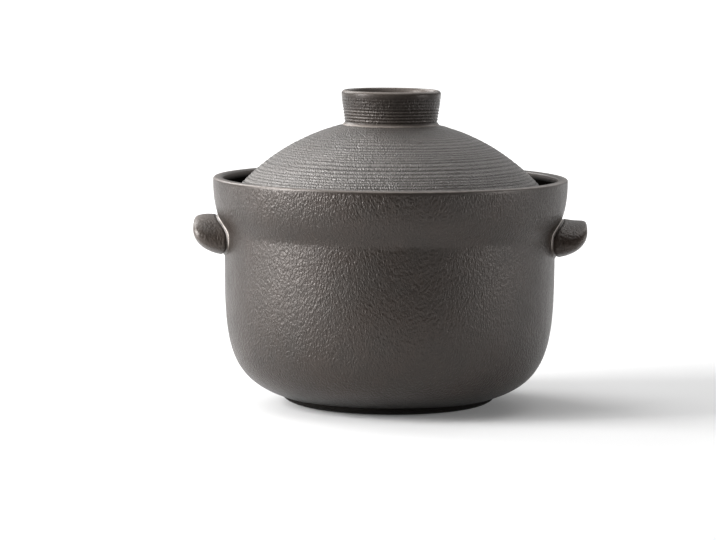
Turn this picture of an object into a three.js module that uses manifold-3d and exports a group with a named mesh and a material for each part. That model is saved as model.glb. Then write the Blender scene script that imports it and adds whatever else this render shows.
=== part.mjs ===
// Stoneware cooking pot with two lug handles and a domed lid with a hollow ring grip.
// Millimetres, +Z up. The origin is the centre of the foot, on the surface the pot stands on.
// The pot and the lid are turned about Z, and the lugs lie along X.
import * as THREE from 'three';
import { ParametricGeometry } from 'three/addons/geometries/ParametricGeometry.js';
import { mergeVertices } from 'three/addons/utils/BufferGeometryUtils.js';
import Module from 'manifold-3d';

// Pot: the mouth drives the width, and the neck and belly step in from it. Heights of the neck and
// lugs are taken down from the lip.
const RIM_RADIUS = 110;
const RIM_FLARE = 3;
const NECK_FLARE = 4.6;
const RIM_WALL = 6;
const LIP_ROUND = 1.4;
const POT_HEIGHT = 141.2;
const NECK_BELOW_LIP = 23.6;
const NECK_LENGTH = 11.2;
const NECK_SLOPE = 0.34;
const BELLY_Z = 82;
const BODY_WALL = 7;
const BASE_RADIUS = 62.5;

// Shape of the bowl's curve: how far it runs out and up as it leaves the base, and how early it
// turns upright, as shares of its width and height
const BOWL_FULLNESS = 0.86;
const BOWL_LIFT = 0.12;
const BOWL_UPRIGHT = 0.36;

// Ledge inside the rim that carries the lid
const LEDGE_DEPTH = 17;
const RIM_TAPER = 1.5;
const LEDGE_ROUND = 1.2;

// Foot ring: a small step out from the base, a slope in to the land, and an open middle
const FOOT_HEIGHT = 4.2;
const FOOT_STEP = 3.5;
const FOOT_SLOPE = 14;
const FOOT_LAND = 8;
const FOOT_TOE = 0.4;
const FOOT_TOE_LIFT = 0.1;
const FOOT_UPRIGHT = 0.5;

// Lid: a spherical dome with a flat seat
const DOME_RADIUS = 125.5;
const LID_RISE = 36.2;
const LID_WALL = 6.5;
const LID_PLAY = 3.5;
const LID_EDGE_ROUND = 0.8;

// Ring grip on the lid
const GRIP_HEIGHT = 17.9;
const GRIP_RADIUS = 30.8;
const GRIP_WAIST_RADIUS = 28.3;
const GRIP_LIP = 4.2;
const GRIP_TOP_ROUND = 2.2;
const GRIP_BEAD = 1.2;
const GRIP_HOLLOW_DEPTH = 12;
const GRIP_FLARE = 0.4;
const GRIP_FLARE_HEIGHT = 8.75;
const GRIP_FLOOR_RADIUS = 15.8;

// Lug handles: how far the tip stands out from the wall and lies below the lip, and how far the lug
// rises above and drops below the tip
const LUG_LENGTH = 18.9;
const LUG_BELOW_LIP = 32.2;
const LUG_RISE = 7.7;
const LUG_DROP = 16.8;
const LUG_WIDTH = 52;
const LUG_ROOT_DEPTH = 5.3;

// How high the lug is widest, as a share of its height
const LUG_WIDEST = 0.34;

// Roundness of the lug's edges: 2 is an ellipse, and higher is squarer
const LUG_PLAN_POWER = 7;
const LUG_TOP_POWER = 6;
const LUG_UNDER_POWER = 2.2;
const LUG_SECTION_POWER = 2.3;

// Slip line between pieces that are stuck or stand on each other
const SLIP_GAP = 0.3;

// Facets around the turned pieces and the lugs, and along the curves of their outlines
const TURNED_SIDES = 64;
const GRIP_SIDES = 48;
const LUG_SIDES = 36;
const LUG_STEPS = 24;
const BOWL_STEPS = 12;
const DOME_STEPS = 12;
const SIDE_STEPS = 6;
const ROUND_STEPS = 3;

const point = (r, z) => new THREE.Vector2(r, z);

function line(from, to) {
  return [from, to];
}

function curve(from, control1, control2, to, steps) {
  return new THREE.CubicBezierCurve(from, control1, control2, to).getPoints(steps);
}

function arc(centre, radius, from, to, steps) {
  const clockwise = to < from;
  return new THREE.EllipseCurve(centre.x, centre.y, radius, radius, from, to, clockwise).getPoints(steps);
}

// The stretches of an outline joined end to end, without the points that two stretches share.
function outline(...stretches) {
  const points = [];
  for (const p of stretches.flat()) {
    const last = points[points.length - 1];
    if (!last || last.distanceTo(p) > 1e-6) points.push(p);
  }
  return points;
}

// An outline moved sideways by a distance, to the left of the way it runs.
function moved(points, distance) {
  return points.map((p, i) => {
    const before = points[Math.max(i - 1, 0)];
    const after = points[Math.min(i + 1, points.length - 1)];
    const along = after.clone().sub(before).normalize();
    return point(p.x - along.y * distance, p.y + along.x * distance);
  });
}

// A closed outline of radius and height turned about the Z axis.
function turned(points, sides) {
  return new THREE.LatheGeometry(points, sides).rotateX(Math.PI / 2);
}

// Outside of the pot from the base to the start of the lip: a deep bowl that turns vertical at the
// belly, a soft flare at the neck and an almost straight rim.
const neckRadius = RIM_RADIUS - RIM_FLARE;
const neckZ = POT_HEIGHT - NECK_BELOW_LIP;
const bellyRadius = neckRadius - NECK_FLARE;
const bellyTopZ = neckZ - NECK_LENGTH;
const baseZ = FOOT_HEIGHT + SLIP_GAP;
const bowlHeight = BELLY_Z - baseZ;
const lipZ = POT_HEIGHT - LIP_ROUND;
const neckReach = NECK_LENGTH / 3;
const rimReach = (lipZ - neckZ) / 3;

const bowl = curve(
  point(BASE_RADIUS, baseZ),
  point(BASE_RADIUS + (bellyRadius - BASE_RADIUS) * BOWL_FULLNESS, baseZ + bowlHeight * BOWL_LIFT),
  point(bellyRadius, baseZ + bowlHeight * BOWL_UPRIGHT),
  point(bellyRadius, BELLY_Z),
  BOWL_STEPS,
);
const neck = curve(
  point(bellyRadius, bellyTopZ),
  point(bellyRadius, bellyTopZ + neckReach),
  point(neckRadius - NECK_SLOPE * neckReach, neckZ - neckReach),
  point(neckRadius, neckZ),
  SIDE_STEPS,
);
const rim = curve(
  point(neckRadius, neckZ),
  point(neckRadius + NECK_SLOPE * rimReach, neckZ + rimReach),
  point(RIM_RADIUS, lipZ - rimReach),
  point(RIM_RADIUS, lipZ),
  SIDE_STEPS,
);
const outside = outline(bowl, neck, rim);

// Inside of the pot: flat lip with round edges, tapered rim, ledge, straight wall and a bowl of even
// thickness.
const rimInside = RIM_RADIUS - RIM_WALL;
const ledgeZ = POT_HEIGHT - LEDGE_DEPTH;
const ledgeOuter = rimInside - RIM_TAPER;
const wallInside = bellyRadius - BODY_WALL;
const bowlInside = moved(bowl, BODY_WALL).reverse();
const floorZ = bowlInside[bowlInside.length - 1].y;

const potOutline = outline(
  line(point(0, baseZ), point(BASE_RADIUS, baseZ)),
  outside,
  arc(point(RIM_RADIUS - LIP_ROUND, lipZ), LIP_ROUND, 0, Math.PI / 2, ROUND_STEPS),
  arc(point(rimInside + LIP_ROUND, lipZ), LIP_ROUND, Math.PI / 2, Math.PI, ROUND_STEPS),
  line(point(rimInside, lipZ), point(ledgeOuter, ledgeZ)),
  arc(point(wallInside + LEDGE_ROUND, ledgeZ - LEDGE_ROUND), LEDGE_ROUND, Math.PI / 2, Math.PI, ROUND_STEPS),
  bowlInside,
  [point(0, floorZ)],
);
const potBody = turned(potOutline, TURNED_SIDES);

// Foot ring: flat land, a rounded slope up to the base, and an open middle.
const footTop = BASE_RADIUS + FOOT_STEP;
const footLand = footTop - FOOT_SLOPE;
const footHollow = footLand - FOOT_LAND;

const footOutline = outline(
  line(point(footHollow, 0), point(footLand, 0)),
  curve(
    point(footLand, 0),
    point(footLand + FOOT_SLOPE * FOOT_TOE, FOOT_HEIGHT * FOOT_TOE_LIFT),
    point(footTop, FOOT_HEIGHT * FOOT_UPRIGHT),
    point(footTop, FOOT_HEIGHT),
    SIDE_STEPS,
  ),
  line(point(footTop, FOOT_HEIGHT), point(footHollow, FOOT_HEIGHT)),
  [point(footHollow, 0)],
);
const footRing = turned(footOutline, TURNED_SIDES);

// Lid: dome above and below, an upright edge that clears the rim, and a flat seat on the ledge.
const lidRadius = ledgeOuter - LID_PLAY;
const seatZ = ledgeZ + SLIP_GAP;
const domeZ = POT_HEIGHT + LID_RISE - DOME_RADIUS;
const domeCentre = point(0, domeZ);
const domeInside = DOME_RADIUS - LID_WALL;
const seatAngle = Math.asin((seatZ - domeZ) / domeInside);
const edgeAngle = Math.acos(lidRadius / DOME_RADIUS);

const edgeCentre = point(lidRadius - LID_EDGE_ROUND, seatZ + LID_EDGE_ROUND);

const lidOutline = outline(
  arc(domeCentre, domeInside, Math.PI / 2, seatAngle, DOME_STEPS),
  arc(edgeCentre, LID_EDGE_ROUND, -Math.PI / 2, 0, ROUND_STEPS),
  arc(domeCentre, DOME_RADIUS, edgeAngle, Math.PI / 2, DOME_STEPS),
);
lidOutline[0].x = 0;
lidOutline[lidOutline.length - 1].x = 0;
const lidDome = turned(lidOutline, TURNED_SIDES);

// Ring grip: stands on the dome, a small bead at its foot, a flared side, a round lip and a bowl.
const gripSeat = DOME_RADIUS + SLIP_GAP;
const gripFoot = GRIP_WAIST_RADIUS + GRIP_BEAD;
const gripFootAngle = Math.acos(gripFoot / gripSeat);
const gripFootZ = domeZ + gripSeat * Math.sin(gripFootAngle);
const gripTop = POT_HEIGHT + LID_RISE + GRIP_HEIGHT;
const gripFloor = gripTop - GRIP_HOLLOW_DEPTH;
const gripInside = GRIP_RADIUS - GRIP_LIP;
const lipCentreZ = gripTop - GRIP_TOP_ROUND;
const lipLand = GRIP_RADIUS - GRIP_TOP_ROUND;

const gripOutline = outline(
  arc(domeCentre, gripSeat, Math.PI / 2, gripFootAngle, ROUND_STEPS),
  curve(
    point(gripFoot, gripFootZ),
    point(gripFoot, gripFootZ + GRIP_BEAD),
    point(GRIP_WAIST_RADIUS, gripFootZ + GRIP_BEAD),
    point(GRIP_WAIST_RADIUS, gripFootZ + 2 * GRIP_BEAD),
    ROUND_STEPS,
  ),
  curve(
    point(GRIP_WAIST_RADIUS, gripFootZ + 2 * GRIP_BEAD),
    point(GRIP_WAIST_RADIUS + (GRIP_RADIUS - GRIP_WAIST_RADIUS) * GRIP_FLARE, gripFootZ + GRIP_FLARE_HEIGHT),
    point(GRIP_RADIUS, lipCentreZ - GRIP_TOP_ROUND),
    point(GRIP_RADIUS, lipCentreZ),
    SIDE_STEPS,
  ),
  arc(point(lipLand, lipCentreZ), GRIP_TOP_ROUND, 0, Math.PI / 2, ROUND_STEPS),
  curve(
    point(lipLand, gripTop),
    point(gripInside, gripTop),
    point(gripInside, gripFloor),
    point(GRIP_FLOOR_RADIUS, gripFloor),
    SIDE_STEPS,
  ),
  [point(0, gripFloor)],
);
gripOutline[0].x = 0;
const gripRing = turned(gripOutline, GRIP_SIDES);

// Lug: a pebble with a nearly flat top, a deep curved underside and a blunt round tip, centred just
// inside the wall. What lies inside the wall and its slip line is cut away.
function wallRadius(z) {
  const above = outside.findIndex((p) => p.y > z);
  const [low, high] = [outside[above - 1], outside[above]];
  return THREE.MathUtils.mapLinear(z, low.y, high.y, low.x, high.x);
}

const lugZ = POT_HEIGHT - LUG_BELOW_LIP;
const lugCentre = wallRadius(lugZ) - LUG_ROOT_DEPTH;
const lugReach = LUG_ROOT_DEPTH + LUG_LENGTH;

function rounded(share, power) {
  return Math.pow(Math.max(1 - Math.pow(Math.abs(share), power), 0), 1 / power);
}

function signedPower(value, power) {
  return Math.sign(value) * Math.pow(Math.abs(value), power);
}

function lugSurface(u, v, target) {
  const around = u * 2 * Math.PI;
  const along = Math.sin((v - 0.5) * Math.PI);
  const side = signedPower(Math.cos(around), 2 / LUG_SECTION_POWER);
  const up = signedPower(Math.sin(around), 2 / LUG_SECTION_POWER);
  const width = LUG_WIDTH / 2 * rounded(along, LUG_PLAN_POWER);
  const top = lugZ + LUG_RISE * rounded(along, LUG_TOP_POWER);
  const bottom = lugZ - LUG_DROP * rounded(along, LUG_UNDER_POWER);
  const widest = THREE.MathUtils.lerp(bottom, top, LUG_WIDEST);
  const z = THREE.MathUtils.lerp(widest, up > 0 ? top : bottom, Math.abs(up));
  target.set(lugCentre + lugReach * along, side * width, z);
}

const wasm = await Module();
wasm.setup();

function solid(geometry) {
  const bare = geometry.clone();
  bare.deleteAttribute('normal');
  bare.deleteAttribute('uv');
  const merged = mergeVertices(bare, 1e-4);
  const corners = merged.index.array;
  const kept = [];
  for (let i = 0; i < corners.length; i += 3) {
    const [a, b, c] = [corners[i], corners[i + 1], corners[i + 2]];
    if (a !== b && b !== c && c !== a) kept.push(a, b, c);
  }
  return new wasm.Manifold(new wasm.Mesh({
    numProp: 3,
    vertProperties: new Float32Array(merged.attributes.position.array),
    triVerts: new Uint32Array(kept),
  }));
}

function geometryOf(manifold) {
  const mesh = manifold.getMesh();
  const geometry = new THREE.BufferGeometry();
  geometry.setAttribute('position', new THREE.BufferAttribute(new Float32Array(mesh.vertProperties), 3));
  geometry.setIndex(new THREE.BufferAttribute(new Uint32Array(mesh.triVerts), 1));
  geometry.computeVertexNormals();
  return geometry;
}

const wallOutline = outline(
  [point(0, baseZ)],
  outside.map((p) => point(p.x + SLIP_GAP, p.y)),
  [point(0, lipZ)],
);
const wall = solid(turned(wallOutline, TURNED_SIDES));
const lugPebble = solid(new ParametricGeometry(lugSurface, LUG_SIDES, LUG_STEPS));
const lug = geometryOf(lugPebble.subtract(wall));

// Looks: dark brown-grey matt glaze, smoother on the lugs, and bare dark clay on the foot.
function glaze(color, roughness) {
  return new THREE.MeshStandardMaterial({ color, roughness, metalness: 0 });
}

function piece(name, geometry, material) {
  const mesh = new THREE.Mesh(geometry, material);
  mesh.name = name;
  return mesh;
}

const pot = new THREE.Group();
const rightHandle = piece('right_handle', lug, glaze(0x4b4642, 0.35));
const leftHandle = piece('left_handle', lug, glaze(0x4b4642, 0.35));
leftHandle.rotation.z = Math.PI;
pot.add(
  piece('pot_body', potBody, glaze(0x5b5450, 0.5)),
  piece('foot_ring', footRing, glaze(0x23201e, 0.9)),
  rightHandle,
  leftHandle,
);

const lid = new THREE.Group();
lid.add(
  piece('lid', lidDome, glaze(0x6b6561, 0.5)),
  piece('lid_knob', gripRing, glaze(0x4f4945, 0.5)),
);

const cookingPot = new THREE.Group();
cookingPot.add(pot, lid);

export default cookingPot;
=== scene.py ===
import math

import bpy
import numpy as np
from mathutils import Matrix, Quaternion, Vector, noise


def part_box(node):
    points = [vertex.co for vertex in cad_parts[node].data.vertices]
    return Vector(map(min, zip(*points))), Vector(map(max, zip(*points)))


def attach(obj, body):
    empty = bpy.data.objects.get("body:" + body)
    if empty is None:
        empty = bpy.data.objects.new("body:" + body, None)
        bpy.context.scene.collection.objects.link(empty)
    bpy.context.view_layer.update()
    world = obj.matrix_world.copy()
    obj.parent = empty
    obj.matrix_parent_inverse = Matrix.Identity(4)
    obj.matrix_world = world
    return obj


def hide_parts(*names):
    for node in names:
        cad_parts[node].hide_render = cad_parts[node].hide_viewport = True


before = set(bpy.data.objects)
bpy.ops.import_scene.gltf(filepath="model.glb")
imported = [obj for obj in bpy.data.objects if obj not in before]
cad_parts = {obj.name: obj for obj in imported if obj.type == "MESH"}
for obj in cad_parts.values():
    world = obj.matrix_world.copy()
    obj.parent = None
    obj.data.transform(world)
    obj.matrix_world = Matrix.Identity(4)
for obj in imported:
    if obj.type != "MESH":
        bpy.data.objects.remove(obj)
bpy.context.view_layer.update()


# ------------------------------------------------------------------------------------ pot body
# One thrown stoneware bowl with a flared rim and a ledge inside the rim for the lid. It is dipped
# in a dark brown-grey matt glaze that dries to a leathery grain, and it carries everything else.

pot_low, pot_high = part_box("pot_body")
RIM_RADIUS = pot_high.x
POT_HEIGHT = pot_high.z
BASE_Z = pot_low.z
BASE_RADIUS = 0.0625
BOWL_SPREAD, BOWL_LIFT, BOWL_FULLNESS = 0.86, 0.12, 0.36
RIM_WALL = 0.006
LIP_ROUND = 0.0014
BODY_WALL = 0.007
BELLY_Z = 0.082
NECK_TOP_Z = POT_HEIGHT - 0.0236
NECK_LENGTH = 0.0112
NECK_RADIUS = RIM_RADIUS - 0.003
NECK_SLOPE = 0.34
BELLY_RADIUS = NECK_RADIUS - 0.0046
LEDGE_Z = POT_HEIGHT - 0.017
LEDGE_ROUND = 0.0012
RIM_TAPER = 0.0015
POT_SIDES = 440
OUTSIDE_STEP = 0.00135
INSIDE_STEP = 0.0033
RIM_INSIDE_STEP = 0.0008
HIDDEN_STEP = 0.008
CURVE_SAMPLES = 400
WAVE_HEIGHT, WAVE_SIZE = 0.00012, 0.034
LUMP_HEIGHT, LUMP_SIZE = 0.00005, 0.0052
GRAIN_STARTS, GRAIN_CALMS = (0.006, 0.024), (0.04, 0.065)
GRAIN_RETURNS, GRAIN_ENDS = (0.1, 0.126), (0.1382, 0.1398)
NECK_STARTS, NECK_ENDS = (0.101, 0.108), (0.12, 0.127)
FOOT_GRAIN, BELLY_CALM, NECK_CALM, LIP_GRAIN = 0.4, 0.28, 0.05, 0.2
# The pale strip just inside the lip is painted light.
PAINTED_LIGHT_STRIP_HEIGHT, PAINTED_LIGHT_STRIP_SHARE = 0.002, 0.8
LIP_PATCH_SIZE = 0.004
# Where the painted shade inside the pot starts and is full, and the band of painted shade round the
# foot.
PAINTED_SHADE_STARTS, PAINTED_SHADE_FULL = 0.0008, 0.003
FOOT_SHADE_BAND = (0.006, 0.017)
CLOUDS_PER_M, FLECKS_PER_M = 42, 1100
FLECK_LIGHTER = 3
GRAIN_STRETCH = 0.55


def curve(start, pull_start, pull_end, end, step):
    """Points of a smooth curve, evenly spaced about a step apart, without its last point."""
    a, b, c, d = (np.array(p, float) for p in (start, pull_start, pull_end, end))
    t = np.linspace(0, 1, CURVE_SAMPLES)[:, None]
    fine = a * (1 - t) ** 3 + 3 * b * t * (1 - t) ** 2 + 3 * c * t * t * (1 - t) + d * t ** 3
    run = np.concatenate([[0], np.cumsum(np.linalg.norm(np.diff(fine, axis=0), axis=1))])
    count = max(2, round(run[-1] / step))
    even = np.linspace(0, run[-1], count + 1)[:-1]
    return np.column_stack([np.interp(even, run, fine[:, k]) for k in (0, 1)])


def line(start, end, step):
    """Points of a straight stretch, without its last point."""
    return curve(start, start, end, end, step)


def arc(centre, radius, start_angle, end_angle, step):
    """Points of a round stretch, without its last point."""
    count = max(3, round(abs(end_angle - start_angle) * radius / step))
    turn = np.linspace(start_angle, end_angle, count + 1)[:-1]
    return np.column_stack([centre[0] + radius * np.cos(turn), centre[1] + radius * np.sin(turn)])


def normals_of(outline):
    """Unit normals of an outline, to the right of the way it runs."""
    way = np.gradient(outline, axis=0)
    way /= np.maximum(np.linalg.norm(way, axis=1), 1e-12)[:, None]
    return np.column_stack([way[:, 1], -way[:, 0]])


def band_faces(ring_count, sides, closed):
    """Four-sided faces between neighbouring rings of points, and from the last to the first if the
    band is closed."""
    faces = []
    for ring in range(ring_count if closed else ring_count - 1):
        low, high = ring * sides, (ring + 1) % ring_count * sides
        for side in range(sides):
            after = (side + 1) % sides
            faces.append((low + side, low + after, high + after, high + side))
    return faces


def smooth_piece(name, vertices, faces):
    """A smooth-shaded mesh object in the scene."""
    mesh = bpy.data.meshes.new(name)
    mesh.from_pydata([tuple(v) for v in vertices], [], faces)
    mesh.polygons.foreach_set("use_smooth", np.ones(len(mesh.polygons), bool))
    piece = bpy.data.objects.new(name, mesh)
    bpy.context.scene.collection.objects.link(piece)
    return piece


def turned(name, outline, sides, relief):
    """A closed mesh of an outline of radius and height turned about Z, raised along its normals
    by relief(points). An outline that starts off the axis is closed on itself."""
    outline = np.array(outline)
    on_axis = outline[0, 0] < 1e-9
    angle = np.linspace(0, 2 * math.pi, sides, endpoint=False)
    around = np.stack([np.cos(angle), np.sin(angle)], axis=1)
    normal = normals_of(outline)

    def placed(radius, height):
        return np.stack([radius * around[:, 0], radius * around[:, 1], height], axis=-1)

    flat = placed(outline[:, 0:1], np.repeat(outline[:, 1:2], sides, axis=1))
    raised = relief(flat)
    points = placed(
        outline[:, 0:1] + normal[:, 0:1] * raised,
        outline[:, 1:2] + normal[:, 1:2] * raised,
    )

    rings = points[1:-1] if on_axis else points
    vertices = list(rings.reshape(-1, 3))
    ring_count = len(rings)
    faces = band_faces(ring_count, sides, closed=not on_axis)
    if on_axis:
        for ring, pole in ((0, points[0]), (ring_count - 1, points[-1])):
            vertices.append(np.array([0, 0, pole[:, 2].mean()]))
            for side in range(sides):
                pair = (ring * sides + side, ring * sides + (side + 1) % sides)
                faces.append((*(pair if ring else pair[::-1]), len(vertices) - 1))
    return smooth_piece(name, vertices, faces)


def mark(piece, name, share):
    """Stores a share from 0 to 1 at each point of a piece, for its finish to read."""
    points = np.array([v.co for v in piece.data.vertices])
    values = np.clip(share(points), 0, 1).astype(np.float32)
    piece.data.attributes.new(name, "FLOAT", "POINT").data.foreach_set("value", values)


def unevenness(points, size):
    """Soft lumps of about that size, from -1 to 1, at each point."""
    flat = points.reshape(-1, 3) / size
    return np.array([noise.noise(Vector(p)) for p in flat]).reshape(points.shape[:-1])


def ramp(values, start, end):
    """0 before start and 1 after end, with a soft step between them."""
    t = np.clip((values - start) / (end - start), 0, 1)
    return t * t * (3 - 2 * t)


bowl_height = BELLY_Z - BASE_Z
lip_z = POT_HEIGHT - LIP_ROUND
neck_reach = NECK_LENGTH / 3
rim_reach = (lip_z - NECK_TOP_Z) / 3
belly_top = (BELLY_RADIUS, NECK_TOP_Z - NECK_LENGTH)
base_edge = (BASE_RADIUS, BASE_Z)
neck_top = (NECK_RADIUS, NECK_TOP_Z)

bowl = curve(
    base_edge,
    (BASE_RADIUS + (BELLY_RADIUS - BASE_RADIUS) * BOWL_SPREAD, BASE_Z + bowl_height * BOWL_LIFT),
    (BELLY_RADIUS, BASE_Z + bowl_height * BOWL_FULLNESS),
    (BELLY_RADIUS, BELLY_Z),
    OUTSIDE_STEP,
)
neck = curve(
    belly_top,
    (BELLY_RADIUS, belly_top[1] + neck_reach),
    (NECK_RADIUS - NECK_SLOPE * neck_reach, NECK_TOP_Z - neck_reach),
    neck_top,
    OUTSIDE_STEP,
)
rim = curve(
    neck_top,
    (NECK_RADIUS + NECK_SLOPE * rim_reach, NECK_TOP_Z + rim_reach),
    (RIM_RADIUS, lip_z - rim_reach),
    (RIM_RADIUS, lip_z),
    OUTSIDE_STEP,
)
outside = np.vstack([bowl, line((BELLY_RADIUS, BELLY_Z), belly_top, OUTSIDE_STEP), neck, rim])
rim_inside = (RIM_RADIUS - RIM_WALL, lip_z)
lip_outer = (RIM_RADIUS - LIP_ROUND, lip_z)
lip_inner = (rim_inside[0] + LIP_ROUND, lip_z)
lip = np.vstack([
    arc(lip_outer, LIP_ROUND, 0, math.pi / 2, LIP_ROUND / 4),
    line((lip_outer[0], POT_HEIGHT), (lip_inner[0], POT_HEIGHT), LIP_ROUND / 2),
    arc(lip_inner, LIP_ROUND, math.pi / 2, math.pi, LIP_ROUND / 4),
])
ledge_outer = (rim_inside[0] - RIM_TAPER, LEDGE_Z)
wall_inside = BELLY_RADIUS - BODY_WALL
ledge_inner = (wall_inside + LEDGE_ROUND, LEDGE_Z)
bowl_inside = (bowl - BODY_WALL * normals_of(bowl))[::-1]
inside_every = round(INSIDE_STEP / OUTSIDE_STEP)
floor_inside = bowl_inside[-1]

pot_outline = np.vstack([
    line((0, BASE_Z), base_edge, HIDDEN_STEP),
    outside,
    lip,
    line(rim_inside, ledge_outer, RIM_INSIDE_STEP),
    line(ledge_outer, ledge_inner, INSIDE_STEP / 2),
    arc((ledge_inner[0], LEDGE_Z - LEDGE_ROUND), LEDGE_ROUND, math.pi / 2, math.pi, LEDGE_ROUND / 2),
    line((wall_inside, LEDGE_Z - LEDGE_ROUND), (wall_inside, BELLY_Z), INSIDE_STEP),
    bowl_inside[:-1:inside_every],
    line(floor_inside, (0, floor_inside[1]), HIDDEN_STEP),
    [(0, floor_inside[1])],
])


def radius_of(points):
    """How far points lie from the axis of the pot."""
    return np.hypot(points[..., 0], points[..., 1])


def from_wall(points):
    """How far points stand out from the wall of the pot."""
    return radius_of(points) - np.interp(points[..., 2], outside[:, 1], outside[:, 0])


def outside_share(points):
    """1 on the outside of the wall, 0 on the lip, inside and underneath."""
    below_lip = 1 - ramp(points[..., 2], lip_z, lip_z + 0.001)
    return ramp(from_wall(points), -0.002, -0.0008) * below_lip


def leather_share(points):
    """How strong the glaze grain is: full on the low bowl and under the rim, calmer on the belly,
    weak by the foot and on the lip."""
    z = points[..., 2]
    belly = ramp(z, *GRAIN_CALMS) - ramp(z, *GRAIN_RETURNS)
    wall = FOOT_GRAIN + (1 - FOOT_GRAIN) * ramp(z, *GRAIN_STARTS) - BELLY_CALM * belly
    neck = ramp(z, *NECK_STARTS) * (1 - ramp(z, *NECK_ENDS))
    lip = LIP_GRAIN + (1 - LIP_GRAIN) * (1 - ramp(z, *GRAIN_ENDS))
    return outside_share(points) * wall * (1 - NECK_CALM * neck) * lip


def pot_relief(points):
    """The hand of the thrower: slow waves in the wall, and the coarser lumps of the glaze."""
    waves = WAVE_HEIGHT * unevenness(points, WAVE_SIZE)
    lumps = LUMP_HEIGHT * unevenness(points, LUMP_SIZE) * leather_share(points)
    return (waves + lumps) * outside_share(points)


def nodes_of(material):
    """The nodes and links of a new material, cleared to a single output."""
    material.use_nodes = True
    tree = material.node_tree
    tree.nodes.clear()
    return tree.nodes, tree.links


def add(nodes, kind, **values):
    """A new node with its sockets set by name."""
    node = nodes.new("ShaderNode" + kind)
    for name, value in values.items():
        node.inputs[name.replace("_", " ")].default_value = value
    return node


def blended(nodes, links, share, first, second):
    """A colour between two others, each a value or another node's colour."""
    mix = nodes.new("ShaderNodeMix")
    mix.data_type = "RGBA"
    links.new(share, mix.inputs["Factor"])
    for socket, colour in ((mix.inputs[6], first), (mix.inputs[7], second)):
        if isinstance(colour, bpy.types.NodeSocket):
            links.new(colour, socket)
        else:
            socket.default_value = (*colour, 1)
    return mix.outputs[2]


def between(nodes, links, value, low, high, to_low, to_high):
    """A value carried from one range to another."""
    carried = add(nodes, "MapRange", From_Min=low, From_Max=high, To_Min=to_low, To_Max=to_high)
    links.new(value, carried.inputs["Value"])
    return carried.outputs["Result"]


def glaze(name, brown, grey, pale_edge_and_highlight, sheen, gloss, roughness, grain_size, grain_depth, painted_shade_colour=None):
    """Matt stoneware glaze: brown and grey clouds, a thin pale edge that is partly painted highlight,
    and a leathery grain. Gloss is its strength in the grooves and on the ridges of the clay, and the
    dark colour it is given is painted shade on the places marked to be darkened."""
    material = bpy.data.materials.new(name)
    nodes, links = nodes_of(material)
    shader = add(nodes, "BsdfPrincipled", IOR=1.5, Specular_Tint=(*sheen, 1))
    output = nodes.new("ShaderNodeOutputMaterial")
    links.new(shader.outputs["BSDF"], output.inputs["Surface"])
    place = nodes.new("ShaderNodeTexCoord").outputs["Object"]

    clouds = add(nodes, "TexNoise", Scale=CLOUDS_PER_M, Detail=4, Roughness=0.6)
    links.new(place, clouds.inputs["Vector"])
    cloud_share = between(nodes, links, clouds.outputs["Fac"], 0.35, 0.65, 0, 1)
    colour = blended(nodes, links, cloud_share, brown, grey)

    flecks = add(nodes, "TexNoise", Scale=FLECKS_PER_M, Detail=1)
    links.new(place, flecks.inputs["Vector"])
    fleck_share = between(nodes, links, flecks.outputs["Fac"], 0.6, 0.75, 0, 0.35)
    colour = blended(nodes, links, fleck_share, colour, [FLECK_LIGHTER * part for part in grey])

    # Pale marks: partly thin glaze, partly painted highlight and painted light.
    thin_and_highlight = nodes.new("ShaderNodeAttribute")
    thin_and_highlight.attribute_name = "thin_glaze_and_highlight"
    colour = blended(nodes, links, thin_and_highlight.outputs["Fac"], colour, pale_edge_and_highlight)
    # Painted shade: the marked places are darkened.
    if painted_shade_colour:
        painted_shade = nodes.new("ShaderNodeAttribute")
        painted_shade.attribute_name = "painted_shade"
        colour = blended(nodes, links, painted_shade.outputs["Fac"], colour, painted_shade_colour)
    links.new(colour, shader.inputs["Base Color"])

    ridge = nodes.new("ShaderNodeAttribute")
    ridge.attribute_name = "ridge"
    shine = between(nodes, links, ridge.outputs["Fac"], 0, 1, *gloss)
    shader.inputs["Specular IOR Level"].default_value = sum(gloss) / 2
    links.new(shine, shader.inputs["Specular IOR Level"])

    rough = between(nodes, links, clouds.outputs["Fac"], 0.3, 0.7, roughness - 0.04, roughness + 0.05)
    links.new(rough, shader.inputs["Roughness"])

    stretch = nodes.new("ShaderNodeMapping")
    stretch.inputs["Scale"].default_value = (1, 1, GRAIN_STRETCH)
    links.new(place, stretch.inputs["Vector"])
    leather = add(nodes, "TexNoise", Scale=1 / grain_size, Detail=1, Roughness=0.5, Distortion=0.2)
    links.new(stretch.outputs["Vector"], leather.inputs["Vector"])
    strength = nodes.new("ShaderNodeAttribute")
    strength.attribute_name = "leather"
    grain = add(nodes, "Bump", Distance=grain_depth)
    links.new(strength.outputs["Fac"], grain.inputs["Strength"])
    links.new(leather.outputs["Fac"], grain.inputs["Height"])
    links.new(grain.outputs["Normal"], shader.inputs["Normal"])
    return material


def lip_thin_and_highlight_share(points):
    """Paler in patches along the lip, partly thin glaze and partly painted highlight, and on a strip
    just inside it, painted light on the inner wall.
    """
    z, radius = points[:, 2], radius_of(points)
    edge = ramp(z, lip_z + 0.0001, POT_HEIGHT - 0.0004) * ramp(radius, rim_inside[0], lip_outer[0])
    patches = 0.8 + 0.4 * unevenness(points, LIP_PATCH_SIZE)
    strip = ramp(z, lip_z - PAINTED_LIGHT_STRIP_HEIGHT, lip_z) * (1 - 0.6 * ramp(z, lip_z, lip_z + 0.0008))
    inner = 1 - ramp(radius, rim_inside[0], lip_inner[0])
    return np.maximum(edge * patches, PAINTED_LIGHT_STRIP_SHARE * strip * inner)


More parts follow.
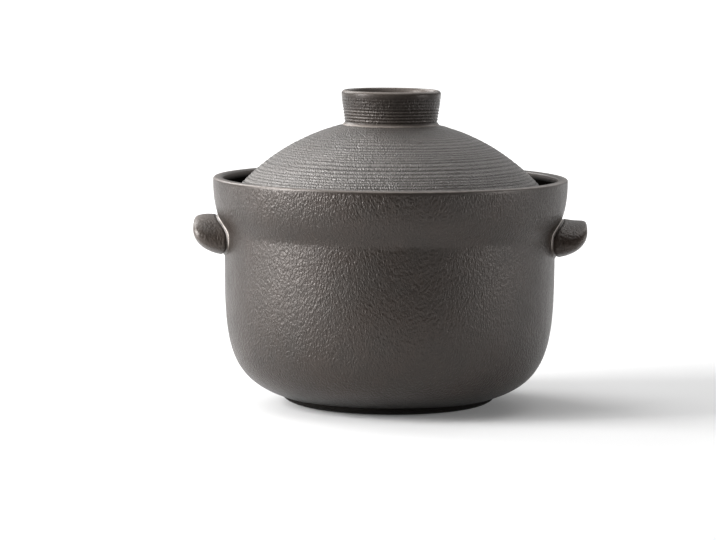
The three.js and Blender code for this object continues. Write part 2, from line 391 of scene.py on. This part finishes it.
def inside_share(points):
    """1 on the inside of the pot below the strip inside the lip."""
    below_strip = 1 - ramp(points[:, 2], lip_z - PAINTED_SHADE_FULL, lip_z - PAINTED_SHADE_STARTS)
    return ramp(-from_wall(points), 0.003, 0.0045) * below_strip


def painted_shade_share(points):
    """Painted shade: the inside, most above the ledge, and a band round the foot are darkened."""
    inside = inside_share(points)
    foot_shade = (1 - inside) * (1 - ramp(points[:, 2], *FOOT_SHADE_BAND))
    above_ledge = ramp(points[:, 2], LEDGE_Z - 0.004, LEDGE_Z)
    return np.maximum(inside * (0.7 + 0.3 * above_ledge), 0.85 * foot_shade)


def shine_share(points):
    """Half shiny on the wall, more so on the lip, dull round the foot and inside above the ledge."""
    cooked_in = inside_share(points) * (1 - ramp(points[:, 2], LEDGE_Z - 0.004, LEDGE_Z))
    return 0.5 * np.maximum(1 - painted_shade_share(points), cooked_in) + 0.5 * lip_thin_and_highlight_share(points)


pot_body = turned("pot_body_glazed", pot_outline, POT_SIDES, pot_relief)
mark(pot_body, "leather", leather_share)
# Pale lip: partly thin glaze, partly painted highlight; the strip inside it is painted light.
mark(pot_body, "thin_glaze_and_highlight", lip_thin_and_highlight_share)
# Painted shade: the inside and a band round the foot are darkened.
mark(pot_body, "painted_shade", painted_shade_share)
mark(pot_body, "ridge", shine_share)
pot_body.data.materials.append(glaze(
    "brown grey matt glaze",
    brown=(0.0215, 0.0157, 0.0125), grey=(0.0178, 0.0146, 0.0123), pale_edge_and_highlight=(0.125, 0.108, 0.097),
    sheen=(1, 0.925, 0.885), gloss=(0, 1), roughness=0.36, grain_size=0.00105, grain_depth=0.0007,
    painted_shade_colour=(0.005, 0.0042, 0.0035),
))
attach(pot_body, "pot")
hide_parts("pot_body")


# ----------------------------------------------------------------------------------- foot ring
# A low ring of bare clay under the base that the pot stands on. It is wiped clean of glaze before
# firing, so it is dark, dry and sandy, and painted near black as painted shade under the pot, with a
# soft slope from the step to the land.

foot_low, foot_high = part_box("foot_ring")
FOOT_RADIUS = foot_high.x
FOOT_TAPER = 0.014
FOOT_LAND_WIDTH = 0.008
FOOT_LAND_RADIUS = FOOT_RADIUS - FOOT_TAPER
FOOT_HOLLOW_RADIUS = FOOT_LAND_RADIUS - FOOT_LAND_WIDTH
FOOT_TOE = 0.0056
FOOT_TUCK = 0.0002
FOOT_STEP = 0.0012
FOOT_SIDES = 240
SAND_LUMP_HEIGHT, SAND_LUMP_SIZE = 0.00008, 0.004
SAND_GRAINS_PER_M = 900
SAND_DEPTH = 0.00012

foot_top = BASE_Z + FOOT_TUCK
foot_edge_z = np.interp(FOOT_RADIUS, bowl[:, 0], bowl[:, 1]) + FOOT_TUCK
foot_outline = np.vstack([
    line((FOOT_HOLLOW_RADIUS, 0), (FOOT_LAND_RADIUS, 0), FOOT_STEP),
    curve(
        (FOOT_LAND_RADIUS, 0),
        (FOOT_LAND_RADIUS + FOOT_TOE, 0.1 * foot_high.z),
        (FOOT_RADIUS, 0.5 * foot_high.z),
        (FOOT_RADIUS, foot_edge_z),
        FOOT_STEP / 2,
    ),
    line((FOOT_RADIUS, foot_edge_z), (BASE_RADIUS - FOOT_STEP, foot_top), FOOT_STEP),
    line((BASE_RADIUS - FOOT_STEP, foot_top), (FOOT_HOLLOW_RADIUS, foot_top), HIDDEN_STEP),
    line((FOOT_HOLLOW_RADIUS, foot_top), (FOOT_HOLLOW_RADIUS, 0), FOOT_STEP),
])


def foot_relief(points):
    """Sandy clay, worn flat where it stands."""
    off_the_table = ramp(points[..., 2], 0.0002, 0.0012)
    return SAND_LUMP_HEIGHT * unevenness(points, SAND_LUMP_SIZE) * off_the_table


def bare_clay(name, clay, sand, roughness):
    """Fired clay without glaze: dark body, pale grains of sand and a dry rough surface."""
    material = bpy.data.materials.new(name)
    nodes, links = nodes_of(material)
    shader = add(nodes, "BsdfPrincipled", IOR=1.45, Roughness=roughness, Specular_IOR_Level=0.1)
    output = nodes.new("ShaderNodeOutputMaterial")
    links.new(shader.outputs["BSDF"], output.inputs["Surface"])
    place = nodes.new("ShaderNodeTexCoord").outputs["Object"]
    grains = add(nodes, "TexVoronoi", Scale=SAND_GRAINS_PER_M)
    links.new(place, grains.inputs["Vector"])
    sand_share = between(nodes, links, grains.outputs["Distance"], 0.1, 0.35, 0.6, 0)
    links.new(blended(nodes, links, sand_share, clay, sand), shader.inputs["Base Color"])
    grit = add(nodes, "Bump", Distance=SAND_DEPTH)
    links.new(grains.outputs["Distance"], grit.inputs["Height"])
    links.new(grit.outputs["Normal"], shader.inputs["Normal"])
    return material


foot_ring = turned("foot_ring_bare", foot_outline, FOOT_SIDES, foot_relief)
# The clay colour is partly its own dark clay, partly painted shade under the pot.
foot_ring.data.materials.append(bare_clay(
    "dark bare clay", clay=(0.0055, 0.0045, 0.0037), sand=(0.018, 0.015, 0.0127), roughness=0.8,
))
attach(foot_ring, "pot")
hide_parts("foot_ring")


# --------------------------------------------------------------------------------- lug handles
# Two pressed clay lugs, stuck to the wall with slip before glazing. Each is a pebble with a dished
# top and a round tip, and the tops differ a little. The slip leaves a bead and a crease at the root.

LUG_TIP_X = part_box("right_handle")[1].x
LUG_REACH = 0.0242
LUG_CENTRE_X = LUG_TIP_X - LUG_REACH
LUG_TIP_Z = POT_HEIGHT - 0.0322
LUG_RISE = 0.0077
LUG_DROP = 0.0168
LUG_HALF_WIDTH = 0.026
LUG_WIDEST = 0.33
LUG_DISH, LUG_DISH_LENGTH = 0.0005, 0.019
LUG_LUMP_HEIGHT, LUG_LUMP_SIZE = 0.0001, 0.012
LUG_ROOT_INSIDE, LUG_ROOT_DEPTH = 0.0012, 0.003
LUG_ROWS = 84
LUG_SIDES = 144
PLAN_POWER = 7
UNDER_POWER = 2.2
SECTION_POWER = 2.1
BEAD_HEIGHT, BEAD_WIDTH = 0.0006, 0.00032
CREASE_DEPTH, CREASE_WIDTH, CREASE_FROM_WALL = 0.0008, 0.0006, 0.0014
BEAD_THIN_AND_HIGHLIGHT = (0.0002, 0.0005)
BEAD_LOW_HIGHLIGHT_SHARE = 0.05
TOP_THIN_AND_HIGHLIGHT_SHARE = 0.09
LUG_ROOT_SEARCHES = 40


def rounded(share, power):
    """1 in the middle, falling to 0 at the end, squarer with a higher power."""
    return np.maximum(1 - np.abs(share) ** power, 0) ** (1 / power)


def lug_surface(along, around, lift, top_power):
    """A point of the pebble: along runs from the middle to the tip, around its section. The top
    rises by lift towards the tip, and its corner is squarer with a higher top_power."""
    side = np.sign(np.cos(around)) * np.abs(np.cos(around)) ** (2 / SECTION_POWER)
    up = np.sign(np.sin(around)) * np.abs(np.sin(around)) ** (2 / SECTION_POWER)
    top = LUG_TIP_Z + (LUG_RISE + lift * ramp(along, 0.1, 0.8)) * rounded(along, top_power)
    under = LUG_TIP_Z - LUG_DROP * rounded(along, UNDER_POWER)
    widest = under + LUG_WIDEST * (top - under)
    z = np.where(up > 0, widest + up * (top - widest), widest + up * (widest - under))
    width = LUG_HALF_WIDTH * rounded(along, PLAN_POWER)
    return np.stack([LUG_CENTRE_X + LUG_REACH * along, side * width, z], axis=-1)


def lug_mesh(name, turn, lift, top_power):
    """One lug from its root inside the wall to its tip, turned about Z to its side of the pot."""
    around = np.linspace(0, 2 * math.pi, LUG_SIDES, endpoint=False)
    low, high = np.full(LUG_SIDES, -0.9), np.ones(LUG_SIDES)
    for _ in range(LUG_ROOT_SEARCHES):
        middle = (low + high) / 2
        outside_wall = from_wall(lug_surface(middle, around, lift, top_power)) > -LUG_ROOT_INSIDE
        low, high = np.where(outside_wall, low, middle), np.where(outside_wall, middle, high)
    t = np.linspace(0, 1, LUG_ROWS)[:, None]
    spread = 1 - (1 - t) ** 3 * (1 + 3 * t)
    along = high + (1 - high) * spread
    points = lug_surface(along, np.broadcast_to(around, along.shape), lift, top_power)

    ahead = np.gradient(points, axis=0)
    beside = np.roll(points, -1, axis=1) - np.roll(points, 1, axis=1)
    normal = np.cross(beside, ahead)
    normal /= np.maximum(np.linalg.norm(normal, axis=-1), 1e-12)[..., None]
    out = from_wall(points)
    bead = BEAD_HEIGHT * np.exp(-((out / BEAD_WIDTH) ** 2))
    crease = CREASE_DEPTH * np.exp(-(((out - CREASE_FROM_WALL) / CREASE_WIDTH) ** 2))
    upwards = np.clip(normal[..., 2], 0, 1) ** 2
    dish = LUG_DISH * upwards * np.sin(np.clip(out / LUG_DISH_LENGTH, 0, 1) * math.pi)
    lumps = LUG_LUMP_HEIGHT * unevenness(points, LUG_LUMP_SIZE) * ramp(out, 0.001, 0.004)
    points = points + normal * (bead - crease - dish + lumps)[..., None]
    points[-1] = points[-1].mean(axis=0)

    rows = points[:-1].reshape(-1, 3)
    root, tip = points[0].mean(axis=0) - np.array([LUG_ROOT_DEPTH, 0, 0]), points[-1, 0]
    vertices = [*rows, root, tip]
    faces = band_faces(LUG_ROWS - 1, LUG_SIDES, closed=False)
    last = (LUG_ROWS - 2) * LUG_SIDES
    for side in range(LUG_SIDES):
        after = (side + 1) % LUG_SIDES
        faces.append((after, side, len(rows)))
        faces.append((last + side, last + after, len(rows) + 1))
    lug = smooth_piece(name, vertices, faces)
    lug.data.transform(Quaternion((0, 0, 1), turn).to_matrix().to_4x4())
    return lug


def lug_grain(points):
    """Full on the lug, where it is shallower than on the wall, and none on the bead of slip."""
    return ramp(from_wall(points), 0.001, 0.003)


def lug_thin_and_highlight(points):
    """Paler on the bead and a little on the top, partly thin glaze and partly painted highlight, and
    only faintly pale low on the bead.
    """
    upper = ramp(points[:, 2], LUG_TIP_Z - 0.011, LUG_TIP_Z - 0.006)
    top = ramp(points[:, 2], LUG_TIP_Z + 0.003, LUG_TIP_Z + LUG_RISE)
    bead = 1 - ramp(from_wall(points), *BEAD_THIN_AND_HIGHLIGHT)
    bead_highlight_share = BEAD_LOW_HIGHLIGHT_SHARE + (1 - BEAD_LOW_HIGHLIGHT_SHARE) * upper
    return np.maximum(bead * bead_highlight_share, TOP_THIN_AND_HIGHLIGHT_SHARE * top)


def lug_shine(points):
    """Shiny on top and on the face, dull underneath where little glaze reached it."""
    return ramp(points[:, 2], LUG_TIP_Z - 0.012, LUG_TIP_Z - 0.001)


lug_glaze = glaze(
    "smooth lug glaze",
    brown=(0.05, 0.038, 0.031), grey=(0.041, 0.034, 0.029), pale_edge_and_highlight=(0.5, 0.45, 0.41),
    sheen=(1, 0.94, 0.91), gloss=(0.24, 0.66), roughness=0.36, grain_size=0.0012, grain_depth=0.00045,
)
for side, turn, lift, top_power in (("right", 0, -0.001, 9), ("left", math.pi, 0.0014, 5)):
    lug = lug_mesh(f"{side}_lug_glazed", turn, lift, top_power)
    mark(lug, "leather", lug_grain)
    # Pale bead and top: partly thin glaze, partly painted highlight.
    mark(lug, "thin_glaze_and_highlight", lug_thin_and_highlight)
    mark(lug, "ridge", lug_shine)
    lug.data.materials.append(lug_glaze)
    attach(lug, "pot")
    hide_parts(f"{side}_handle")


# ------------------------------------------------------------------------------------ lid dome
# A thrown domed lid that drops inside the rim onto the ledge. Fine comb lines run round its
# outside, sharp near the edge and worn away towards the grip, under the same glaze as the pot.

lid_low, lid_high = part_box("lid")
LID_RADIUS = lid_high.x
LID_SEAT_Z = lid_low.z
DOME_RADIUS = 0.1255
LID_WALL = 0.0065
LID_EDGE_ROUND = 0.0008
LID_SHOULDER = 0.0016
LID_SIDES = 340
COMB_PITCH = 0.0029
COMB_PITCH_CHANGE = 0.0008
COMB_WIDEST_AT = 0.082
COMB_CHANGE_LENGTH = 0.024
COMB_STEP = COMB_PITCH / 7
COMB_DEPTH = 0.0004
COMB_SAMPLES = 2000
COMB_PRESSED_AT = math.radians(215)
COMB_WANDER, COMB_WANDER_SIZE = 0.1, 0.03
WORN_SPOT, WORN_STARTS, WORN_REACH = (-0.052, -0.026), 0.012, 0.042
LID_WAVE_HEIGHT, LID_WAVE_SIZE = 0.00012, 0.03
LID_LUMP_HEIGHT, LID_LUMP_SIZE = 0.00018, 0.0045
LID_INSIDE_STEP = 0.0042
UNDER_GRIP_RADIUS = 0.026
SKIN_DEPTH = 0.003

dome_z = lid_high.z - DOME_RADIUS
dome_centre = (0, dome_z)
dome_inside = DOME_RADIUS - LID_WALL
seat_angle = math.asin((LID_SEAT_Z - dome_z) / dome_inside)
edge_angle = math.acos(LID_RADIUS / DOME_RADIUS)
shoulder_angle = edge_angle + LID_SHOULDER / DOME_RADIUS
under_grip_angle = math.acos(UNDER_GRIP_RADIUS / DOME_RADIUS)
edge_corner = (LID_RADIUS, dome_z + DOME_RADIUS * math.sin(edge_angle))
shoulder = (DOME_RADIUS * math.cos(shoulder_angle), dome_z + DOME_RADIUS * math.sin(shoulder_angle))
seat_inner = (dome_inside * math.cos(seat_angle), LID_SEAT_Z)
seat_outer = (LID_RADIUS - LID_EDGE_ROUND, LID_SEAT_Z)
edge_round_centre = (seat_outer[0], LID_SEAT_Z + LID_EDGE_ROUND)
edge_low = (LID_RADIUS, LID_SEAT_Z + LID_EDGE_ROUND)
edge_high = (LID_RADIUS, edge_corner[1] - LID_SHOULDER)

lid_outline = np.vstack([
    arc(dome_centre, dome_inside, math.pi / 2, seat_angle, LID_INSIDE_STEP),
    line(seat_inner, seat_outer, LID_EDGE_ROUND),
    arc(edge_round_centre, LID_EDGE_ROUND, -math.pi / 2, 0, LID_EDGE_ROUND / 2),
    line(edge_low, edge_high, LID_EDGE_ROUND),
    curve(edge_high, edge_corner, edge_corner, shoulder, COMB_STEP),
    arc(dome_centre, DOME_RADIUS, shoulder_angle, under_grip_angle, COMB_STEP),
    arc(dome_centre, DOME_RADIUS, under_grip_angle, math.pi / 2, HIDDEN_STEP),
    [(0, lid_high.z)],
])
lid_outline[0, 0] = 0


def dome_skin(points, full_depth):
    """1 on the outside of the dome down to full_depth under it, 0 inside."""
    level = np.hypot(radius_of(points), points[..., 2] - dome_z)
    return ramp(level, DOME_RADIUS - SKIN_DEPTH, DOME_RADIUS - full_depth)


def comb_share(points):
    """How deep the comb lines are: full near the edge, worn towards the grip, none underneath."""
    x, y, radius = points[..., 0], points[..., 1], radius_of(points)
    worn = 1 - ramp(np.hypot(x - WORN_SPOT[0], y - WORN_SPOT[1]), WORN_STARTS, WORN_REACH)
    pressure = 0.95 + 0.25 * np.cos(np.arctan2(y, x) - COMB_PRESSED_AT)
    depth = (0.3 + 0.7 * ramp(radius, 0.038, 0.06)) * (1 - 0.7 * worn) * pressure
    return dome_skin(points, 0.0015) * depth * (1 - ramp(radius, LID_RADIUS - 0.002, LID_RADIUS))


comb_run = np.linspace(0, math.pi / 2 * DOME_RADIUS, COMB_SAMPLES)
comb_change = np.cos(2 * math.pi * (comb_run - COMB_WIDEST_AT) / COMB_CHANGE_LENGTH)
comb_pitch = COMB_PITCH + COMB_PITCH_CHANGE * comb_change
comb_count = np.cumsum((comb_run[1] - comb_run[0]) / comb_pitch)


def comb_lines(points):
    """Comb lines from 0 in a groove to 1 on a ridge, uneven in width and depth."""
    run = DOME_RADIUS * np.arcsin(np.clip(radius_of(points) / DOME_RADIUS, 0, 1))
    count = np.interp(run, comb_run, comb_count) + COMB_WANDER * unevenness(points, COMB_WANDER_SIZE)
    height = 0.75 + 0.25 * np.sin(np.round(count) * 2.4)
    return 1 - height * (0.5 - 0.5 * np.cos(2 * math.pi * count)) ** 1.6


def lid_relief(points):
    """Comb lines, broken here and there by lumps of glaze, on slow waves in the clay."""
    broken = 0.9 + 0.3 * unevenness(points, 0.006) + 0.7 * unevenness(points, 0.0021)
    lines = COMB_DEPTH * (comb_lines(points) - 1) * comb_share(points) * broken
    waves = LID_WAVE_HEIGHT * unevenness(points, LID_WAVE_SIZE)
    near_grip = 1 - ramp(radius_of(points), 0.045, 0.07)
    lumps = LID_LUMP_HEIGHT * unevenness(points, LID_LUMP_SIZE) * near_grip
    return lines + (waves + lumps) * dome_skin(points, 0.001)


def lid_grain(points):
    """Nearly even over the outside, none underneath."""
    return dome_skin(points, 0.001) * (0.9 + 0.1 * ramp(radius_of(points), 0.04, 0.075))


def lid_ridges(points):
    """1 on the ridges, 0 in the grooves, and between the two where the lines are worn away."""
    share = comb_share(points)
    return comb_lines(points) * share + 0.6 * (1 - share)


def lid_groove_shade(points):
    """Painted shade: darker in the grooves."""
    return 0.85 * (1 - comb_lines(points)) * comb_share(points)


def lid_edges(points):
    """Paler on the ridges and round the edge of the lid: partly thin glaze, partly painted highlight.
    """
    edge = ramp(radius_of(points), LID_RADIUS - 0.003, LID_RADIUS)
    return 0.25 * comb_lines(points) * comb_share(points) + 0.4 * edge


lid_dome = turned("lid_dome_glazed", lid_outline, LID_SIDES, lid_relief)
mark(lid_dome, "leather", lid_grain)
mark(lid_dome, "ridge", lid_ridges)
# Pale ridges and edge: partly thin glaze, partly painted highlight.
mark(lid_dome, "thin_glaze_and_highlight", lid_edges)
# Painted shade in the grooves of the comb lines.
mark(lid_dome, "painted_shade", lid_groove_shade)
lid_dome.data.materials.append(glaze(
    "combed lid glaze",
    brown=(0.073, 0.064, 0.058), grey=(0.064, 0.059, 0.055), pale_edge_and_highlight=(0.23, 0.212, 0.2),
    sheen=(1, 0.97, 0.95), gloss=(0.2, 1.0), roughness=0.33, grain_size=0.00085, grain_depth=0.0011,
    painted_shade_colour=(0.022, 0.019, 0.017),
))
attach(lid_dome, "lid")
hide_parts("lid")


# ------------------------------------------------------------------------------------ lid grip
# A hollow ring thrown on top of the dome to lift the lid by, which also stands the lid upside
# down. Turning lines run round its lower part, and a small bead of slip closes its foot.

grip_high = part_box("lid_knob")[1]
GRIP_RADIUS = grip_high.x
GRIP_TOP = grip_high.z
GRIP_SINK = 0.0004
GRIP_WAIST_RADIUS = 0.0288
GRIP_BEAD = 0.0012
GRIP_TOP_ROUND = 0.0022
GRIP_LIP = 0.0042
GRIP_HOLLOW_DEPTH = 0.012
GRIP_FLOOR_RADIUS = 0.0158
GRIP_FLARE = 0.4
GRIP_FLARE_HEIGHT = 0.00875
GRIP_SIDES = 220
GRIP_SIDE_STEP = 0.00028
GRIP_INSIDE_STEP = 0.0009
LINE_PITCH = 0.0019
LINE_DEPTH = 0.0004
LINE_WANDER, LINE_WANDER_SIZE = 0.08, 0.02
LINES_START, LINES_CALM, LINES_CALMED = (0.0012, 0.0022), (0.0102, 0.0122), 0.72
LIP_BAND = (-0.0052, -0.0038)
GRIP_WAVE_HEIGHT, GRIP_WAVE_SIZE = 0.0001, 0.02
GRIP_LUMP_HEIGHT, GRIP_LUMP_SIZE = 0.00004, 0.0032

grip_foot = GRIP_WAIST_RADIUS + GRIP_BEAD
grip_seat = DOME_RADIUS - GRIP_SINK
grip_foot_angle = math.acos(grip_foot / grip_seat)
grip_foot_z = dome_z + grip_seat * math.sin(grip_foot_angle)
grip_waist_z = grip_foot_z + 2 * GRIP_BEAD
grip_flare = GRIP_WAIST_RADIUS + (GRIP_RADIUS - GRIP_WAIST_RADIUS) * GRIP_FLARE
grip_lip_z = GRIP_TOP - GRIP_TOP_ROUND
grip_land = GRIP_RADIUS - GRIP_TOP_ROUND
grip_inside = GRIP_RADIUS - GRIP_LIP
grip_floor_z = GRIP_TOP - GRIP_HOLLOW_DEPTH

grip_side_outline = np.vstack([
    curve(
        (grip_foot, grip_foot_z),
        (grip_foot, grip_foot_z + GRIP_BEAD),
        (GRIP_WAIST_RADIUS, grip_foot_z + GRIP_BEAD),
        (GRIP_WAIST_RADIUS, grip_waist_z),
        GRIP_SIDE_STEP,
    ),
    curve(
        (GRIP_WAIST_RADIUS, grip_waist_z),
        (grip_flare, grip_foot_z + GRIP_FLARE_HEIGHT),
        (GRIP_RADIUS, grip_lip_z - GRIP_TOP_ROUND),
        (GRIP_RADIUS, grip_lip_z),
        GRIP_SIDE_STEP,
    ),
])
grip_outline = np.vstack([
    arc(dome_centre, grip_seat, math.pi / 2, grip_foot_angle, HIDDEN_STEP),
    grip_side_outline,
    arc((grip_land, grip_lip_z), GRIP_TOP_ROUND, 0, math.pi / 2, GRIP_SIDE_STEP),
    curve(
        (grip_land, GRIP_TOP),
        (grip_inside, GRIP_TOP),
        (grip_inside, grip_floor_z),
        (GRIP_FLOOR_RADIUS, grip_floor_z),
        GRIP_INSIDE_STEP,
    ),
    line((GRIP_FLOOR_RADIUS, grip_floor_z), (0, grip_floor_z), GRIP_INSIDE_STEP * 2),
    [(0, grip_floor_z)],
])
grip_outline[0, 0] = 0


def grip_side(points):
    """1 on the outer side of the ring, 0 on its lip and in its bowl."""
    wall = np.interp(points[..., 2], grip_side_outline[:, 1], grip_side_outline[:, 0])
    below_lip = 1 - ramp(points[..., 2], grip_lip_z, GRIP_TOP)
    return ramp(radius_of(points) - wall, -0.0012, -0.0006) * below_lip


def lip_band(points):
    """1 on the smooth band under the lip of the ring, 0 below it."""
    return ramp(points[..., 2] - GRIP_TOP, *LIP_BAND)


def turning_share(points):
    """The turning lines are deep on the lower part of the side, faint above it and end at the band."""
    up = points[..., 2] - grip_foot_z
    faint = 1 - LINES_CALMED * ramp(up, *LINES_CALM)
    return grip_side(points) * faint * ramp(up, *LINES_START) * (1 - lip_band(points))


def grip_grain(points):
    """A grain on the side, little on the band, none on the lip, on the bead and in the bowl."""
    above_bead = ramp(points[..., 2] - grip_foot_z, 0.0016, 0.003)
    return grip_side(points) * above_bead * (1 - 0.8 * lip_band(points))


def turning_lines(points):
    """Turning lines from 0 in a groove to 1 on a crest."""
    wander = LINE_WANDER * unevenness(points, LINE_WANDER_SIZE)
    up = (points[..., 2] - grip_foot_z) / LINE_PITCH + wander
    return (0.5 + 0.5 * np.cos(2 * math.pi * up)) ** 1.3


def grip_relief(points):
    """Turning lines and small lumps of glaze on the side, on slow waves in the clay."""
    lines = LINE_DEPTH * (turning_lines(points) - 1) * turning_share(points)
    lumps = GRIP_LUMP_HEIGHT * unevenness(points, GRIP_LUMP_SIZE) * grip_side(points)
    return lines + lumps + GRIP_WAVE_HEIGHT * unevenness(points, GRIP_WAVE_SIZE)


def grip_ridges(points):
    """1 on the crests, 0 in the grooves, between the two on smooth places, and shinier on the lip."""
    share = turning_share(points)
    lip = ramp(points[:, 2], GRIP_TOP - 0.0014, GRIP_TOP - 0.0004)
    return turning_lines(points) * share + (0.35 + 0.5 * lip) * (1 - share)


def grip_edges(points):
    """Paler on the lip, in the bowl, on the foot bead and on the turned crests: partly thin glaze,
    partly painted highlight, and painted light on the wall of the bowl.
    """
    up, down = points[:, 2] - grip_foot_z, points[:, 2] - GRIP_TOP
    foot = (1 - ramp(up, 0.001, 0.002)) * ramp(up, -0.001, 0)
    crests = turning_lines(points) * turning_share(points)
    bowl_wall = (1 - grip_side(points)) * ramp(down, -0.007, -0.003)
    lip = 0.12 * ramp(down, -0.0045, -0.002) + 0.6 * ramp(down, -0.0016, 0)
    return np.maximum(0.5 * bowl_wall, lip) + 0.85 * foot + 0.3 * crests


grip_ring = turned("lid_grip_glazed", grip_outline, GRIP_SIDES, grip_relief)
mark(grip_ring, "leather", grip_grain)
mark(grip_ring, "ridge", grip_ridges)
# Pale marks: partly thin glaze, partly painted highlight and painted light in the bowl.
mark(grip_ring, "thin_glaze_and_highlight", grip_edges)
grip_ring.data.materials.append(glaze(
    "turned grip glaze",
    brown=(0.02, 0.015, 0.0122), grey=(0.0168, 0.014, 0.012), pale_edge_and_highlight=(0.2, 0.175, 0.157),
    sheen=(1, 0.93, 0.9), gloss=(0.08, 0.39), roughness=0.28, grain_size=0.0011, grain_depth=0.00065,
))
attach(grip_ring, "lid")
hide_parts("lid_knob")


# ---------------------------------------------------------------------------- floor and studio
# A wide white table that glows as painted light, most at its far end and a little near the pot, and is
# painted grey in front as painted shade, in a room that is dark on the camera's side. Two tall soft
# boxes stand on the left, a weak one on the right, others behind and above.

FLOOR_SIZE = 40
FLOOR_WHITE = (0.76, 0.76, 0.76)
FLOOR_SHADE_GREY = (0.25, 0.25, 0.25)
WHITE_ENDS, SHADE_GREY_STARTS = -0.4, -1.0
FAR_GLOW, FAR_START, FAR_END = 1.32, 1.7, 3.4
NEAR_GLOW = 0.12
GLOW_CENTRE = (0, -1.2, 0)
ROOM_BACK, ROOM_FRONT, ROOM_TURN = 0.6, 0.0, 0.5

floor_mesh = bpy.data.meshes.new("studio_floor")
half = FLOOR_SIZE / 2
floor_corners = [(-half, -half), (half, -half), (half, half), (-half, half)]
floor_mesh.from_pydata([(x, y, foot_low.z) for x, y in floor_corners], [], [(0, 1, 2, 3)])
floor = bpy.data.objects.new("studio_floor", floor_mesh)
bpy.context.scene.collection.objects.link(floor)
floor_paint = bpy.data.materials.new("white table")
nodes, links = nodes_of(floor_paint)
shader = add(nodes, "BsdfPrincipled", Roughness=1.0, Specular_IOR_Level=0)
spot = nodes.new("ShaderNodeTexCoord").outputs["Object"]
depth = nodes.new("ShaderNodeSeparateXYZ")
links.new(spot, depth.inputs["Vector"])
# Painted shade: the floor is painted grey in front.
front_shade = between(nodes, links, depth.outputs["Y"], WHITE_ENDS, SHADE_GREY_STARTS, 0, 1)
paint = blended(nodes, links, front_shade, FLOOR_WHITE, FLOOR_SHADE_GREY)
links.new(paint, shader.inputs["Base Color"])
links.new(paint, shader.inputs["Emission Color"])
# Painted light: the floor glows, strongly far off and a little near the pot, where it lightens the
# cast shadow.
away = nodes.new("ShaderNodeVectorMath")
away.operation = "DISTANCE"
away.inputs[1].default_value = GLOW_CENTRE
links.new(spot, away.inputs[0])
glow = between(nodes, links, away.outputs["Value"], FAR_START, FAR_END, NEAR_GLOW, FAR_GLOW)
links.new(glow, shader.inputs["Emission Strength"])
links.new(shader.outputs["BSDF"], nodes.new("ShaderNodeOutputMaterial").inputs["Surface"])
floor.data.materials.append(floor_paint)

room = bpy.data.worlds.new("pale room")
room.use_nodes = True
nodes, links = room.node_tree.nodes, room.node_tree.links
nodes.clear()
way = nodes.new("ShaderNodeSeparateXYZ")
links.new(nodes.new("ShaderNodeTexCoord").outputs["Generated"], way.inputs["Vector"])
light = nodes.new("ShaderNodeBackground")
room_light = between(nodes, links, way.outputs["Y"], -ROOM_TURN, ROOM_TURN, ROOM_FRONT, ROOM_BACK)
links.new(room_light, light.inputs["Strength"])
links.new(light.outputs["Background"], nodes.new("ShaderNodeOutputWorld").inputs["Surface"])
bpy.context.scene.world = room


def soft_box(name, place, aim, width, height, watts):
    """A rectangular lamp that faces a point and isn't seen itself."""
    lamp = bpy.data.lights.new(name, "AREA")
    lamp.shape = "RECTANGLE"
    lamp.size, lamp.size_y, lamp.energy = width, height, watts
    box = bpy.data.objects.new(name, lamp)
    box.location = place
    box.rotation_euler = (Vector(aim) - Vector(place)).to_track_quat("-Z", "Y").to_euler()
    box.visible_camera = False
    bpy.context.scene.collection.objects.link(box)


pot_middle = (0, 0, POT_HEIGHT / 2)
soft_box("left_soft_box", (-1.663, -0.353, 0.66), pot_middle, 0.8, 1.3, 54)
soft_box("front_left_soft_box", (-1.45, -0.85, 0.66), pot_middle, 0.8, 1.3, 19)
soft_box("back_left_soft_box", (-1.03, 0.98, 1.08), pot_middle, 1.0, 1.2, 17)
soft_box("back_right_soft_box", (0.82, 1.1, 1.2), pot_middle, 0.85, 0.9, 3)
soft_box("right_soft_box", (1.642, -0.44, 0.32), pot_middle, 0.85, 0.62, 8)
soft_box("top_soft_box", (0, 0.1, 1.8), pot_middle, 1.4, 1.4, 9.5)


# -------------------------------------------------------------------------------------- camera
# A long lens a couple of metres in front of the pot and a little above it.

CAMERA_DISTANCE = 2.188
CAMERA_HEIGHT = 0.3127
CAMERA_AIM = (-0.01965, 0, 0.0831)
CAMERA_ROLL = math.radians(0.5)
LENS_MM, SENSOR_MM = 177.8, 36

camera_data = bpy.data.cameras.new("camera")
camera_data.lens = LENS_MM
camera_data.sensor_width = SENSOR_MM
camera = bpy.data.objects.new("camera", camera_data)
camera.location = (CAMERA_AIM[0], -CAMERA_DISTANCE, CAMERA_HEIGHT)
facing = (Vector(CAMERA_AIM) - camera.location).to_track_quat("-Z", "Y")
camera.rotation_euler = (facing @ Quaternion((0, 0, 1), CAMERA_ROLL)).to_euler()
camera_data.clip_end = 100
bpy.context.scene.collection.objects.link(camera)
bpy.context.scene.camera = camera
bpy.context.scene.view_settings.view_transform = "Standard"
